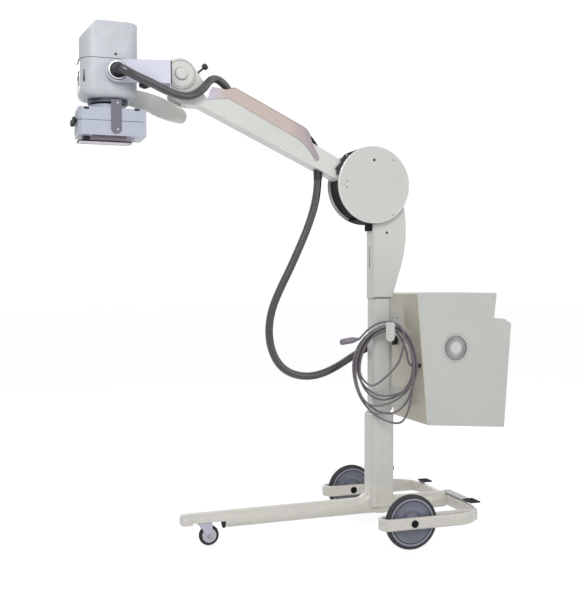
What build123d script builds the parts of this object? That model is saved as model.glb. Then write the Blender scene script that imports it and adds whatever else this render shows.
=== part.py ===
from build123d import *
from math import atan, cos, degrees, radians, sin, sqrt, tan
import os

# A mobile x-ray machine: a three-wheeled tube chassis, a column with a generator cabinet
# behind it, a sprung arm on a round joint housing, and a tube head with its collimator.
# Millimetres. +X is forwards, +Y is the machine's left, +Z is up. The pieces are laid out
# from the middle of the rear axle on the floor, and REAR_AXLE_X moves them all at the end.
REAR_AXLE_X = -344.0

# Clearances between pieces that move and pieces that seat
RUN_FIT = 0.05
SEAT = 0.3
CLEAR = 5.0

# Rear wheels
WHEEL_D = 200.0
WHEEL_T = 24.0
TYRE_DEPTH = 13.0
TRACK = 573.0
AXLE_D = 20.0
PLUG_D = 27.0
PLUG_T = 3.0

# Flat oval tube that loops round each rear wheel and across the back
RAIL_H = 44.0
RAIL_W = 16.0
RAIL_WALL = 2.5
BOW_X = -290.0
BOW_BEND = 112.0
STEP_X = -302.0
STEP_W = 38.0

# Round leg and spine tube
LEG_D = 64.0
LEG_WALL = 3.0
LEG_END_X = 787.0
LEG_FALL = 0.014
NOTCH_START_X = 624.0
NOTCH_END_X = 746.0
TOE_DEPTH = 8.0
ELBOW_R = 88.0

# Front caster
CASTER_D = 75.0
CASTER_T = 24.0
CASTER_TRAIL = 22.0
CASTER_STEM_X = 703.0
CASTER_PIN_D = 8.0
FORK_T = 3.0

# Column
SLEEVE_SIZE = 95.0
SLEEVE_R = 20.0
SLEEVE_TOP_Z = 460.0
HUB_TOP_Z = 190.0
HUB_BOTTOM_Z = 74.0
HUB_D = 88.0
COLUMN_SIZE = 75.0
COLUMN_R = 15.0
COLUMN_WALL = 4.0
COLUMN_TOP_Z = 905.0
NECK_W = 66.0
NECK_WALL = 5.0
NECK_FRONT_X = 41.0

# Round joint housing at the column's top
PIVOT_X = 45.0
PIVOT_Z = 1338.0
HOUSING_R = 147.0
RIM_WALL = 4.0
HOUSING_LEFT_Y = 47.0
HOUSING_RIGHT_Y = -55.0
COVER_T = 8.0
SHAFT_D = 30.0
SLOT_LOW_DEG = -65.0
SLOT_HIGH_DEG = 62.0

# Arm, laid out along its own axis from the pivot and then raised by ARM_ANGLE
ARM_ANGLE = 27.3
ARM_LENGTH = 829.0
KNUCKLE_DROP = 11.5
ARM_W = 70.0
ARM_WALL = 4.0
SHIELD_T = 2.5
CHEEK_T = 13.0
KNUCKLE_R = 56.0
KNUCKLE_PIN_D = 20.0
HOOD_W = 76.0
HOOD_WALL = 2.5

# Bracket that carries the head on its left side
BRACKET_BACK = 50.0
BRACKET_WEB = 16.0
BRACKET_RISE = 7.0
BRACKET_BAR = 34.0
BRACKET_H = 80.0
BRACKET_T = 18.0
BRACKET_CLEAR = 7.5
TONGUE_W = 34.0
TILT_KNOB_X = 929.0
TRUNNION_X = 1022.0
TRUNNION_Z = 1688.0
TRUNNION_D = 50.0
TRUNNION_RING_D = 74.0

# Head
HEAD_X0 = 945.0
HEAD_X1 = 1141.0
HEAD_W = 180.0
HEAD_R = 50.0
HEAD_BOTTOM_Z = 1602.0
SEAM_Z = 1733.0
HEAD_TOP_Z = 1858.0
BEAM_X = 1041.0
RING_D = 138.0
RING_T = 14.0

# Collimator
COLLIMATOR_X0 = 917.0
COLLIMATOR_X1 = 1149.0
COLLIMATOR_W = RING_D + 2 * CLEAR
COLLIMATOR_Z0 = 1473.0
COLLIMATOR_Z1 = 1567.0
COLLIMATOR_CORNER = 12.0
TRAY_W = 70.0
TRAY_DROP = 14.0

# Cabinet
CABINET_W = 300.0
CABINET_WALL = 2.5
VENT_R = 52.0
VENT_BLANK_R = 22.0
VENT_X = -254.0
VENT_Z = 715.0
VENT_FINS = 28

# High voltage hoses and the hand switch cable
HOSE_D = 30.0
CABLE_D = 9.0
GLAND_D = 36.0
COIL_TURN = -25.0
HOOK_TURN = 50.0
HOOK_REACH = 110.0
HOOK_Z = 781.0

# Values worked out from the ones above
wheel_r = WHEEL_D / 2
wheel_y = TRACK / 2
rail_offset = WHEEL_T / 2 + CLEAR + RAIL_W / 2
outer_y = wheel_y + rail_offset
inner_y = wheel_y - rail_offset
bend_inside = rail_offset - RAIL_W / 2
rail_bend_x = wheel_r + CLEAR - sqrt(bend_inside**2 - (WHEEL_T / 2) ** 2)
leg_drop = degrees(atan(LEG_FALL))
leg_x0 = SLEEVE_SIZE / 2 - LEG_D / 2 + ELBOW_R
notch_z = wheel_r - LEG_FALL * NOTCH_START_X
trunnion_out_y = HEAD_W / 2 + BRACKET_CLEAR + BRACKET_T
arm_cos, arm_sin = cos(radians(ARM_ANGLE)), sin(radians(ARM_ANGLE))
knuckle_x = PIVOT_X + ARM_LENGTH * arm_cos + KNUCKLE_DROP * arm_sin
knuckle_z = PIVOT_Z + ARM_LENGTH * arm_sin - KNUCKLE_DROP * arm_cos
bar_x0 = knuckle_x + BRACKET_BACK
bar_x1 = bar_x0 + BRACKET_BAR
bar_mid_z = TRUNNION_Z + BRACKET_RISE

pieces = {}


# Helpers


def slab(outline, y0, y1):
    """An outline drawn in x and z, made solid from y0 to y1."""
    return extrude(Plane.XZ.offset(-y0) * outline, amount=y1 - y0, dir=(0, 1, 0))


def outline(points):
    """A closed face with straight sides through the points."""
    return make_face(Polyline(*points, close=True))


def rod(radius, length, start, direction):
    """A round bar from start along direction."""
    return extrude(Plane(origin=start, z_dir=direction) * Circle(radius), amount=length)


def sector(r_out, r_in, low_deg, high_deg):
    """A part of a ring, its angles measured from +x towards +z."""
    step = high_deg - low_deg
    outer = CenterArc((0, 0), r_out, low_deg, step)
    inner = CenterArc((0, 0), r_in, low_deg, step)
    return make_face([outer, inner, Line(outer @ 0, inner @ 0), Line(outer @ 1, inner @ 1)])


def swept(section, path):
    """The section carried along the path, its own x axis kept upright."""
    start = Plane(origin=path @ 0, z_dir=path % 0, x_dir=(0, 0, 1))
    return sweep(start * section, path=path)


def rail_section():
    """Section of the flat oval tube, its long side along local x."""
    inside = SlotOverall(RAIL_H - 2 * RAIL_WALL, RAIL_W - 2 * RAIL_WALL)
    return SlotOverall(RAIL_H, RAIL_W) - inside


def ring_bar(r_out, r_in, x, y0, y1, z):
    """A ring about an axis along Y."""
    return slab(Pos(x, z) * (Circle(r_out) - Circle(r_in)), y0, y1)


# Chassis


def wheel_rail(side):
    """The tube that loops round the front of one rear wheel."""
    level = wheel_r
    inner_end = (BOW_X + RAIL_W / 2, side * inner_y, level)
    inner_bend = (rail_bend_x, side * inner_y, level)
    outer_bend = (rail_bend_x, side * outer_y, level)
    outer_end = (BOW_X + BOW_BEND, side * outer_y, level)
    nose = (rail_bend_x + rail_offset, side * wheel_y, level)
    path = Wire([
        Line(inner_end, inner_bend).edge(),
        ThreePointArc(inner_bend, nose, outer_bend).edge(),
        Line(outer_bend, outer_end).edge(),
    ])
    tube = swept(rail_section(), path)
    for y in (inner_y, outer_y):
        tube -= rod(AXLE_D / 2, 2 * RAIL_W, (0, side * y + RAIL_W, level), (0, -1, 0))
    return tube


def rear_bow():
    """The tube that joins both outer runs across the back."""
    level = wheel_r
    start = BOW_X + BOW_BEND
    corner_y = outer_y - BOW_BEND
    mid = BOW_BEND * (1 - cos(radians(45)))
    path = Wire([
        ThreePointArc(
            (start, -outer_y, level),
            (BOW_X + mid, -outer_y + mid, level),
            (BOW_X, -corner_y, level),
        ).edge(),
        Line((BOW_X, -corner_y, level), (BOW_X, corner_y, level)).edge(),
        ThreePointArc(
            (BOW_X, corner_y, level),
            (BOW_X + mid, outer_y - mid, level),
            (start, outer_y, level),
        ).edge(),
    ])
    return swept(rail_section(), path)


def spine_tube():
    """The round tube from the hub back to the bow."""
    start = (-SLEEVE_SIZE / 2, 0, wheel_r)
    length = -SLEEVE_SIZE / 2 - (BOW_X + RAIL_W / 2)
    return rod(LEG_D / 2, length, start, (-1, 0, 0)) - rod(
        LEG_D / 2 - LEG_WALL, length, start, (-1, 0, 0)
    )


def base_hub():
    """The casting that joins leg, spine and column, with the leg's sweep up to the column."""
    block = extrude(
        Pos(0, 0, wheel_r) * RectangleRounded(SLEEVE_SIZE, SLEEVE_SIZE, SLEEVE_R),
        amount=HUB_TOP_Z - wheel_r,
    )
    boss = rod(HUB_D / 2, wheel_r - HUB_BOTTOM_Z, (0, 0, HUB_BOTTOM_Z), (0, 0, 1))
    boss = chamfer(boss.edges().group_by(Axis.Z)[0], 5)
    turn_x = leg_x0
    turn_z = wheel_r + ELBOW_R
    low = (turn_x, 0, wheel_r)
    high = (turn_x - ELBOW_R, 0, turn_z)
    mid = (turn_x - ELBOW_R * sin(radians(45)), 0, turn_z - ELBOW_R * cos(radians(45)))
    elbow = swept(Circle(LEG_D / 2), ThreePointArc(low, mid, high))
    elbow = elbow & slab(outline([(0, 0), (turn_x, 0), (turn_x, HUB_TOP_Z), (0, HUB_TOP_Z)]), -60, 60)
    leg_stub = rod(LEG_D / 2, turn_x, (turn_x, 0, wheel_r), (-1, 0, 0))
    spine_stub = rod(LEG_D / 2, SLEEVE_SIZE / 2, (0, 0, wheel_r), (-1, 0, 0))
    return block + boss + elbow + leg_stub + spine_stub


def leg_tube():
    """The front leg, its underside cut away over the caster."""
    start = leg_x0 + 0.5
    length = (LEG_END_X - start) / cos(radians(leg_drop))
    place = Pos(start, 0, wheel_r) * Rot(0, 90, 0)
    bar = place * extrude(Circle(LEG_D / 2), amount=length)
    bar = fillet(bar.edges().group_by(Axis.X)[-1], 14)
    bore = place * extrude(Circle(LEG_D / 2 - LEG_WALL), amount=length - 12)
    tube = Pos(start, 0, wheel_r) * Rot(0, leg_drop, 0) * Pos(-start, 0, -wheel_r) * (bar - bore)
    notch = slab(
        outline([
            (NOTCH_START_X, 0), (LEG_END_X + LEG_D, 0), (LEG_END_X + LEG_D, notch_z - TOE_DEPTH),
            (NOTCH_END_X, notch_z - TOE_DEPTH), (NOTCH_END_X, notch_z), (NOTCH_START_X, notch_z),
        ]),
        -LEG_D, LEG_D,
    )
    return tube - notch


def caster_plate():
    """The flat plate inside the cut leg that the caster is bolted to."""
    return Pos((NOTCH_START_X + NOTCH_END_X) / 2, 0, notch_z + 2) * Box(
        NOTCH_END_X - NOTCH_START_X, LEG_D - 2 * LEG_WALL - 1.0, 4.0
    )


def leg_end_cap():
    """The black cap that closes the cut face of the leg behind the caster."""
    disc = rod(LEG_D / 2, 4.0, (NOTCH_START_X, 0, notch_z), (1, 0, 0))
    below = Pos(NOTCH_START_X, 0, notch_z - LEG_D / 2) * Box(40, 2 * LEG_D, LEG_D)
    return disc & below


def axle(side):
    """One rear axle, from the inner run to the outer run."""
    half = rail_offset + RAIL_W / 2
    return rod(AXLE_D / 2, 2 * half, (0, side * wheel_y - half, wheel_r), (0, 1, 0))


def axle_plugs(side):
    """The two round black plugs over the axle's ends."""
    plugs = []
    for way in (1, -1):
        y = side * wheel_y + way * (rail_offset + RAIL_W / 2)
        plug = rod(PLUG_D / 2, PLUG_T, (0, y, wheel_r), (0, way, 0))
        plugs.append(chamfer(plug.edges().group_by(Axis.Y)[-1 if way > 0 else 0], 1.2))
    return Compound(plugs)


def tyre(side):
    """A solid tyre with a gently crowned tread."""
    half = WHEEL_T / 2
    r_in = wheel_r - TYRE_DEPTH
    section = make_face([
        Line((r_in, -half), (r_in, half)),
        Line((r_in, half), (wheel_r - 4, half)),
        ThreePointArc((wheel_r - 4, half), (wheel_r, 0), (wheel_r - 4, -half)),
        Line((wheel_r - 4, -half), (r_in, -half)),
    ])
    ring = revolve(Plane.XY * section, axis=Axis.Y)
    return Pos(0, side * wheel_y, wheel_r) * ring


def wheel_disc(side):
    """The moulded wheel centre, with a raised rim ring and a shallow dished face."""
    half = WHEEL_T / 2
    r_out = wheel_r - TYRE_DEPTH
    bore = AXLE_D / 2 + RUN_FIT
    section = outline([
        (bore, -half), (bore, half), (24, half), (28, half - 3), (r_out - 14, half - 3),
        (r_out - 12, half - 1), (r_out, half - 1), (r_out, 1 - half), (r_out - 12, 1 - half),
        (r_out - 14, 3 - half), (28, 3 - half), (24, -half),
    ])
    return Pos(0, side * wheel_y, wheel_r) * revolve(Plane.XY * section, axis=Axis.Y)


def caster_fork():
    """Swivel head, crown and two cheeks of the front caster."""
    crown_z = CASTER_D + 4.0
    top = notch_z - SEAT
    wheel_x = CASTER_STEM_X - CASTER_TRAIL
    axle_z = CASTER_D / 2
    race = rod(19, 5.0, (CASTER_STEM_X, 0, top - 5.0), (0, 0, 1))
    crown = slab(
        outline([
            (CASTER_STEM_X + 20, top - 5), (wheel_x - 10, top - 5), (wheel_x - 10, crown_z),
            (CASTER_STEM_X + 20, crown_z),
        ]),
        -CASTER_T / 2 - FORK_T - 1, CASTER_T / 2 + FORK_T + 1,
    )
    cheek = outline([
        (CASTER_STEM_X + 20, top - 5), (wheel_x - 10, top - 5), (wheel_x - 11, axle_z),
        (wheel_x, axle_z - 9), (wheel_x + 11, axle_z),
    ])
    cheeks = [
        slab(cheek, way * (CASTER_T / 2 + 1) - (FORK_T if way < 0 else 0),
             way * (CASTER_T / 2 + 1) + (FORK_T if way > 0 else 0))
        for way in (1, -1)
    ]
    fork = race + crown + cheeks[0] + cheeks[1]
    pin = rod(CASTER_PIN_D / 2, CASTER_T + 2 * FORK_T + 6,
              (wheel_x, -CASTER_T / 2 - FORK_T - 3, axle_z), (0, 1, 0))
    return fork + pin


def caster_wheel():
    """Tyre and hub of the front caster."""
    half = CASTER_T / 2
    r = CASTER_D / 2
    bore = CASTER_PIN_D / 2 + RUN_FIT
    section = make_face([
        Line((bore, -half), (bore, half)),
        Line((bore, half), (9, half)),
        Line((9, half), (11, half - 3)),
        Line((11, half - 3), (r - 11, half - 3)),
        Line((r - 11, half - 3), (r - 8, half - 1)),
        Line((r - 8, half - 1), (r - 4, half - 1)),
        ThreePointArc((r - 4, half - 1), (r, 0), (r - 4, 1 - half)),
        Line((r - 4, 1 - half), (r - 8, 1 - half)),
        Line((r - 8, 1 - half), (r - 11, 3 - half)),
        Line((r - 11, 3 - half), (11, 3 - half)),
        Line((11, 3 - half), (9, -half)),
        Line((9, -half), (bore, -half)),
    ])
    wheel = revolve(Plane.XY * section, axis=Axis.Y)
    return Pos(CASTER_STEM_X - CASTER_TRAIL, 0, r) * wheel


def step_pads():
    """The foot plate over the bow with its black tread, and the small pad on the far side."""
    top = wheel_r + RAIL_H / 2
    plate = Pos(STEP_X, 85, top + 6) * Box(STEP_W, 210, 4)
    post = Pos(BOW_X, 70, top + 2) * Box(15, 60, 4)
    pad_post = Pos(BOW_X, -200, top + 3) * Box(15, 24, 6)
    return Compound([plate + post, pad_post])


def step_treads():
    """The black rubber treads of the two foot pads."""
    top = wheel_r + RAIL_H / 2
    near = fillet((Pos(STEP_X, 190, top + 11) * Box(STEP_W + 4, 60, 6)).edges().group_by(Axis.Z)[-1], 2)
    far = fillet((Pos(STEP_X, -200, top + 9) * Box(STEP_W + 4, 48, 6)).edges().group_by(Axis.Z)[-1], 2)
    return Compound([near, far])


# Column


def square_tube(size, radius, bore, z0, z1):
    """A rounded square tube with a square bore."""
    outside = RectangleRounded(size, size, radius)
    inside = RectangleRounded(bore, bore, max(radius - (size - bore) / 2, 2))
    return extrude(Pos(0, 0, z0) * (outside - inside), amount=z1 - z0)


def column_sleeve():
    """The lower, thicker part of the column with its lead-in edge."""
    bore = COLUMN_SIZE + 2 * SEAT
    tube = square_tube(SLEEVE_SIZE, SLEEVE_R, bore, HUB_TOP_Z, SLEEVE_TOP_Z)
    outer_top = tube.edges().group_by(Axis.Z)[-1].filter_by(
        lambda e: max(abs(e.center().X), abs(e.center().Y)) > COLUMN_SIZE / 2 + 4
    )
    return chamfer(outer_top, 4)


def column_tube():
    """The upper column, standing on the hub inside the sleeve."""
    bore = COLUMN_SIZE - 2 * COLUMN_WALL
    return square_tube(COLUMN_SIZE, COLUMN_R, bore, HUB_TOP_Z, COLUMN_TOP_Z)


def sleeve_knob():
    """The small black screw knob on the sleeve's rear face."""
    stem = rod(6, 4, (-SLEEVE_SIZE / 2, 0, 240), (-1, 0, 0))
    head = rod(13, 10, (-SLEEVE_SIZE / 2 - 4, 0, 240), (-1, 0, 0))
    return stem + chamfer(head.edges().group_by(Axis.X)[0], 2)


def neck_outline(inset):
    """Side view of the neck between the column and the round housing."""
    front = NECK_FRONT_X - inset
    back = -COLUMN_SIZE / 2 - 3.5 + inset
    low = COLUMN_TOP_Z + inset
    high = PIVOT_Z - 60
    return make_face([
        Line((back, low), (front, low)),
        Line((front, low), (front, high)),
        Line((front, high), (-88 + inset, high)),
        ThreePointArc((-88 + inset, high), (-100 + inset, 1150), (-78 + inset, 1022)),
        Line((-78 + inset, 1022), (back, low)),
    ])


def column_neck():
    """The hollow neck that widens towards the back and carries the round housing."""
    half = NECK_W / 2
    body = slab(neck_outline(0), -half, half)
    body = fillet(body.edges().filter_by(GeomType.LINE).filter_by(
        lambda e: abs(e.center().Y) > half - 1 and e.length > 40), 8)
    hollow = slab(neck_outline(NECK_WALL), NECK_WALL - half, half - NECK_WALL)
    round_cut = rod(HOUSING_R + SEAT, 200, (PIVOT_X, -100, PIVOT_Z), (0, 1, 0))
    slot = Pos(NECK_FRONT_X, 0, 1064) * Box(4 * NECK_WALL, 12, 84)
    return body - hollow - round_cut - slot


def joint_rim():
    """The black band round the joint housing, open where the arm comes out."""
    r_in = HOUSING_R - RIM_WALL
    ring = sector(HOUSING_R, r_in, SLOT_HIGH_DEG, 360 + SLOT_LOW_DEG)
    return slab(Pos(PIVOT_X, PIVOT_Z) * ring, HOUSING_RIGHT_Y, HOUSING_LEFT_Y)


def joint_cover(side):
    """One round cover of the joint housing, with a soft edge."""
    y = HOUSING_LEFT_Y if side > 0 else HOUSING_RIGHT_Y
    disc = rod(HOUSING_R, COVER_T, (PIVOT_X, y, PIVOT_Z), (0, side, 0))
    disc = fillet(disc.edges().group_by(Axis.Y)[-1 if side > 0 else 0], 3)
    if side > 0:
        disc += rod(9, 1.5, (PIVOT_X + 116, y + COVER_T, PIVOT_Z), (0, 1, 0))
    return disc


def joint_shaft():
    """The fixed shaft between the two covers that the arm turns on."""
    return rod(SHAFT_D / 2, HOUSING_LEFT_Y - HOUSING_RIGHT_Y,
               (PIVOT_X, HOUSING_RIGHT_Y, PIVOT_Z), (0, 1, 0))


def neck_stop():
    """The black rubber stop under the housing at the neck's front."""
    return Pos(NECK_FRONT_X + 5, 0, 1177) * Box(10, NECK_W - 16, 24)


def cable_hook():
    """The bent steel strip that the hand switch cable hangs on."""
    strip = outline([
        (2, 0), (HOOK_REACH - 3, 0), (HOOK_REACH - 3, -38), (HOOK_REACH, -38), (HOOK_REACH, 35),
        (HOOK_REACH - 3, 35), (HOOK_REACH - 3, 3), (2, 3),
    ])
    bar = extrude(Plane.XZ * strip, amount=17, both=True)
    turned = Pos(-66, 30, HOOK_Z) * Rot(0, 0, HOOK_TURN) * bar
    root = Pos(-66, 21.5, HOOK_Z + 30) * Box(30, 3, 60)
    foot = Pos(-66, 28, HOOK_Z + 1.5) * Box(30, 16, 3)
    return root + foot + turned


# Cabinet


def cabinet_outline(inset):
    """Side view of the cabinet, wider at its top and stepped at the back."""
    return offset(outline([
        (-133, 424), (-90, 926), (-432, 926), (-420, 828), (-468, 824), (-496, 806), (-467, 401),
    ]), amount=-inset, kind=Kind.INTERSECTION)


def cabinet_shell():
    """The folded sheet cabinet, hollow, with a round hole for its vent."""
    half = CABINET_W / 2
    body = slab(cabinet_outline(0), -half, half)
    body = fillet(body.edges().filter_by(Axis.Y), 6)
    hollow = slab(cabinet_outline(CABINET_WALL), CABINET_WALL - half, half - CABINET_WALL)
    hole = rod(VENT_R, 20, (VENT_X, half - 10, VENT_Z), (0, 1, 0))
    return body - hollow - hole


def vent_grille():
    """The round sunburst vent: a plain centre with fins out to a rim."""
    y0 = CABINET_W / 2 - CABINET_WALL
    y1 = CABINET_W / 2 + 1.0
    r = VENT_R - SEAT
    rim = ring_bar(r, r - 3, VENT_X, y0, y1, VENT_Z)
    centre = rod(VENT_BLANK_R, y1 - y0, (VENT_X, y0, VENT_Z), (0, 1, 0))
    grille = rim + centre
    fin = Pos((VENT_BLANK_R + r) / 2 - 1, 0) * Rectangle(r - VENT_BLANK_R, 3.4)
    for n in range(VENT_FINS):
        turned = Pos(VENT_X, VENT_Z) * Rot(0, 0, n * 360 / VENT_FINS) * fin
        grille += slab(turned, y0, y1)
    return grille


def cabinet_bracket():
    """The channel that hangs the cabinet on the column's rear face."""
    back = -COLUMN_SIZE / 2
    arms = []
    for z0, z1 in ((480, 560), (780, 860)):
        reach = [-133 + (z - 424) * 43 / 502 for z in (z0, z1)]
        arms.append(slab(outline([(back, z0), (back, z1), (reach[1], z1), (reach[0], z0)]), -20, 20))
    rail = slab(outline([(back, 470), (back, 870), (back - 8, 870), (back - 8, 470)]), -24, 24)
    return rail + arms[0] + arms[1]


def generator_block():
    """The generator's mass inside the cabinet, as one plain block on its sloping floor."""
    foot = CABINET_WALL + SEAT
    low = [424 + (x + 133) * 23 / 334 + foot for x in (-190, -410)]
    return slab(outline([(-190, low[0]), (-410, low[1]), (-410, 620), (-190, 620)]), -120, 120)


# Arm


def arm_place(solid):
    """Carries a solid from the arm's own frame to its place on the machine."""
    return Pos(PIVOT_X, 0, PIVOT_Z) * Rot(0, -ARM_ANGLE, 0) * solid


def hose_entry():
    """The mouth through the hood's front and the beam's top, in the arm's own frame."""
    mouth = slab(
        outline([(560, 2), (604, 2), (646, 14), (676, 22), (700, 22), (700, 90), (640, 90), (622, 43),
                 (560, 43)]),
        -18, 30,
    )
    return fillet(mouth.edges().filter_by(Axis.X), 6)


def arm_outline():
    """Side view of the arm: straight beam, deep toe under the knuckle, round knuckle end."""
    crown = CenterArc((ARM_LENGTH, -KNUCKLE_DROP), KNUCKLE_R, 113, -189)
    return make_face([
        Line((40, 22), (655, 20)),
        Line((655, 20), (708, -38)),
        Line((708, -38), (726, -32)),
        Line((726, -32), (740, 4)),
        Line((740, 4), crown @ 0),
        crown,
        Line(crown @ 1, (832, -86)),
        ThreePointArc((832, -86), (825, -98), (812, -102)),
        Line((812, -102), (771, -101)),
        Line((771, -101), (715, -74)),
        Line((715, -74), (40, -46)),
        Line((40, -46), (40, 22)),
    ])


def arm_beam():
    """The arm: a welded box beam with a hub on the shaft and a fork at the knuckle."""
    half = ARM_W / 2
    beam = slab(arm_outline(), -half, half)
    tunnel = slab(
        outline([(150, 22 - ARM_WALL), (640, 20 - ARM_WALL), (690, -50), (700, -70), (150, -46)]),
        ARM_WALL - half, half - ARM_WALL,
    )
    hub = rod(44, ARM_W, (0, -half, 0), (0, 1, 0))
    gap = slab(
        outline([
            (ARM_LENGTH - 52, -120), (ARM_LENGTH + 80, -120), (ARM_LENGTH + 80, 80),
            (ARM_LENGTH - 52, 80),
        ]),
        CHEEK_T - half, half - CHEEK_T,
    )
    bore = rod(SHAFT_D / 2 + RUN_FIT, 2 * ARM_W, (0, -ARM_W, 0), (0, 1, 0))
    pin_hole = rod(KNUCKLE_PIN_D / 2, 2 * ARM_W, (ARM_LENGTH, -ARM_W, -KNUCKLE_DROP), (0, 1, 0))
    hose_hole = rod(HOSE_D / 2 + 2, 60, (LOWER_HOSE[0][0], 0, LOWER_HOSE[0][2] - 40), (0, 0, 1))
    return arm_place((beam - tunnel) + hub - gap - bore - pin_hole - hose_entry()) - hose_hole


def arm_shield():
    """The black band inside the housing that closes its slot as the arm swings."""
    r_out = HOUSING_R - RIM_WALL - CLEAR
    band = sector(r_out, r_out - SHIELD_T, -106, 108)
    ring = slab(band, HOUSING_RIGHT_Y + CLEAR, HOUSING_LEFT_Y - CLEAR)
    window = slab(arm_outline(), -ARM_W / 2 - SEAT, ARM_W / 2 + SEAT)
    return arm_place(ring - window)


def arm_hood():
    """The raised cover along the arm's top that the hose runs in."""
    half = HOOD_W / 2
    side = make_face([
        Line((704, -42), (712, 6)),
        Line((712, 6), (664, 24)),
        Line((664, 24), (636, 48)),
        Line((636, 48), (345, 56)),
        ThreePointArc((345, 56), (318, 50), (296, 30)),
        ThreePointArc((296, 30), (262, 2), (240, -12)),
        ThreePointArc((240, -12), (236, -24), (252, -28)),
        ThreePointArc((252, -28), (300, -4), (352, 6)),
        Line((352, 6), (640, 2)),
        Line((640, 2), (704, -42)),
    ])
    body = slab(side, -half, half)
    wrap = slab(arm_outline(), -ARM_W / 2 - SEAT, ARM_W / 2 + SEAT)
    inside = slab(
        outline([(230, 19), (650, 19), (702, -32), (708, 4), (660, 21), (633, 48 - HOOD_WALL),
                 (345, 56 - HOOD_WALL), (318, 50 - HOOD_WALL), (230, 40)]),
        HOOD_WALL - half, half - HOOD_WALL,
    )
    return arm_place(body - wrap - inside - hose_entry())


def knuckle_cover():
    """The round cover over the knuckle's left side, with its domed boss."""
    y = ARM_W / 2
    cover = rod(KNUCKLE_R - 2, 7, (ARM_LENGTH, y, -KNUCKLE_DROP), (0, 1, 0))
    cover = chamfer(cover.edges().group_by(Axis.Y)[-1], 2.5)
    dome = rod(22, 9, (ARM_LENGTH, y + 7, -KNUCKLE_DROP), (0, 1, 0))
    dome = fillet(dome.edges().group_by(Axis.Y)[-1], 7)
    return arm_place(cover + dome)


def knuckle_pin():
    """The pin that the bracket turns on, between the arm's cheeks."""
    start = (ARM_LENGTH, -ARM_W / 2, -KNUCKLE_DROP)
    return arm_place(rod(KNUCKLE_PIN_D / 2, ARM_W, start, (0, 1, 0)))


def lock_lever():
    """The black lever with a knob that locks the knuckle."""
    start = (ARM_LENGTH - 51.8, (ARM_W - CHEEK_T) / 2, 27.3)
    way = (-0.74, 0, 0.673)
    tip = tuple(s + 26 * w for s, w in zip(start, way))
    knob = chamfer(rod(12, 16, tip, way).edges(), 2)
    return arm_place(rod(4, 30, start, way) + knob)


# Bracket


def head_bracket():
    """The one-sided bracket: tongue in the knuckle, bar across, and arm to the trunnion."""
    kx, kz = knuckle_x, knuckle_z
    half = BRACKET_H / 2
    mid = bar_mid_z
    web_x = bar_x1 - BRACKET_WEB
    near_y = ARM_W / 2 + 7 + CLEAR
    tongue = slab(
        outline([(kx, kz - 32), (web_x + 4, kz - 14), (web_x + 4, mid + half - 6), (kx, kz + 32)]),
        -TONGUE_W / 2, TONGUE_W / 2,
    )
    eye = rod(40, TONGUE_W, (kx, -TONGUE_W / 2, kz), (0, 1, 0))
    web = slab(
        outline([(web_x, kz - 14), (bar_x1, kz - 14), (bar_x1, mid + half), (web_x, mid + half)]),
        -30, near_y + 1,
    )
    bar = slab(
        outline([(bar_x0, mid - half), (bar_x1, mid - half), (bar_x1, mid + half), (bar_x0, mid + half)]),
        near_y, trunnion_out_y,
    )
    bar = fillet(bar.edges().filter_by(Axis.Z), 6)
    arm = slab(
        outline([
            (bar_x0 + 10, mid - half), (TRUNNION_X, TRUNNION_Z - TRUNNION_RING_D / 2),
            (TRUNNION_X, TRUNNION_Z + TRUNNION_RING_D / 2), (bar_x0 + 10, mid + half),
        ]),
        trunnion_out_y - BRACKET_T, trunnion_out_y,
    )
    ring = rod(TRUNNION_RING_D / 2, BRACKET_T, (TRUNNION_X, trunnion_out_y - BRACKET_T, TRUNNION_Z), (0, 1, 0))
    pin_bore = rod(KNUCKLE_PIN_D / 2 + RUN_FIT, 80, (kx, -40, kz), (0, 1, 0))
    bore = rod(TRUNNION_D / 2 + RUN_FIT, 60, (TRUNNION_X, trunnion_out_y - 40, TRUNNION_Z), (0, 1, 0))
    return tongue + eye + web + bar + arm + ring - pin_bore - bore


def hose_gland():
    """The black and bright gland over the trunnion that the upper hose leaves by."""
    y = trunnion_out_y + SEAT
    x, z = TRUNNION_X, TRUNNION_Z
    flange = chamfer(rod(33, 4, (x, y, z), (0, 1, 0)).edges().group_by(Axis.Y)[-1], 1.5)
    nut = extrude(Plane(origin=(x, y + 4, z), z_dir=(0, 1, 0)) * RegularPolygon(24, 6), amount=8)
    collar = rod(19, 8, (x, y + 12, z), (0, 1, 0))
    return flange + nut + collar


def tilt_knob():
    """The black knob under the bracket that locks the head's tilt."""
    share = (TILT_KNOB_X - bar_x0 - 10) / (TRUNNION_X - bar_x0 - 10)
    low = (bar_mid_z - BRACKET_H / 2) * (1 - share) + (TRUNNION_Z - TRUNNION_RING_D / 2) * share
    y, z = trunnion_out_y - BRACKET_T / 2 - 1, low - SEAT
    stem = rod(8, 4, (TILT_KNOB_X, y, z), (0, 0, -1))
    head = rod(19, 16, (TILT_KNOB_X, y, z - 4), (0, 0, -1))
    return stem + chamfer(head.edges(), 2)


# Head


def head_lower():
    """The lower housing with rounded corners and belly, and the trunnion on its left."""
    mid_x = (HEAD_X0 + HEAD_X1) / 2
    body = extrude(
        Pos(mid_x, 0, HEAD_BOTTOM_Z) * RectangleRounded(HEAD_X1 - HEAD_X0, HEAD_W, HEAD_R),
        amount=SEAM_Z - HEAD_BOTTOM_Z,
    )
    body = fillet(body.edges().group_by(Axis.Z)[0], 26)
    length = BRACKET_CLEAR + BRACKET_T + 10
    trunnion = rod(TRUNNION_D / 2, length, (TRUNNION_X, HEAD_W / 2 - 10, TRUNNION_Z), (0, 1, 0))
    return body + trunnion


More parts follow.
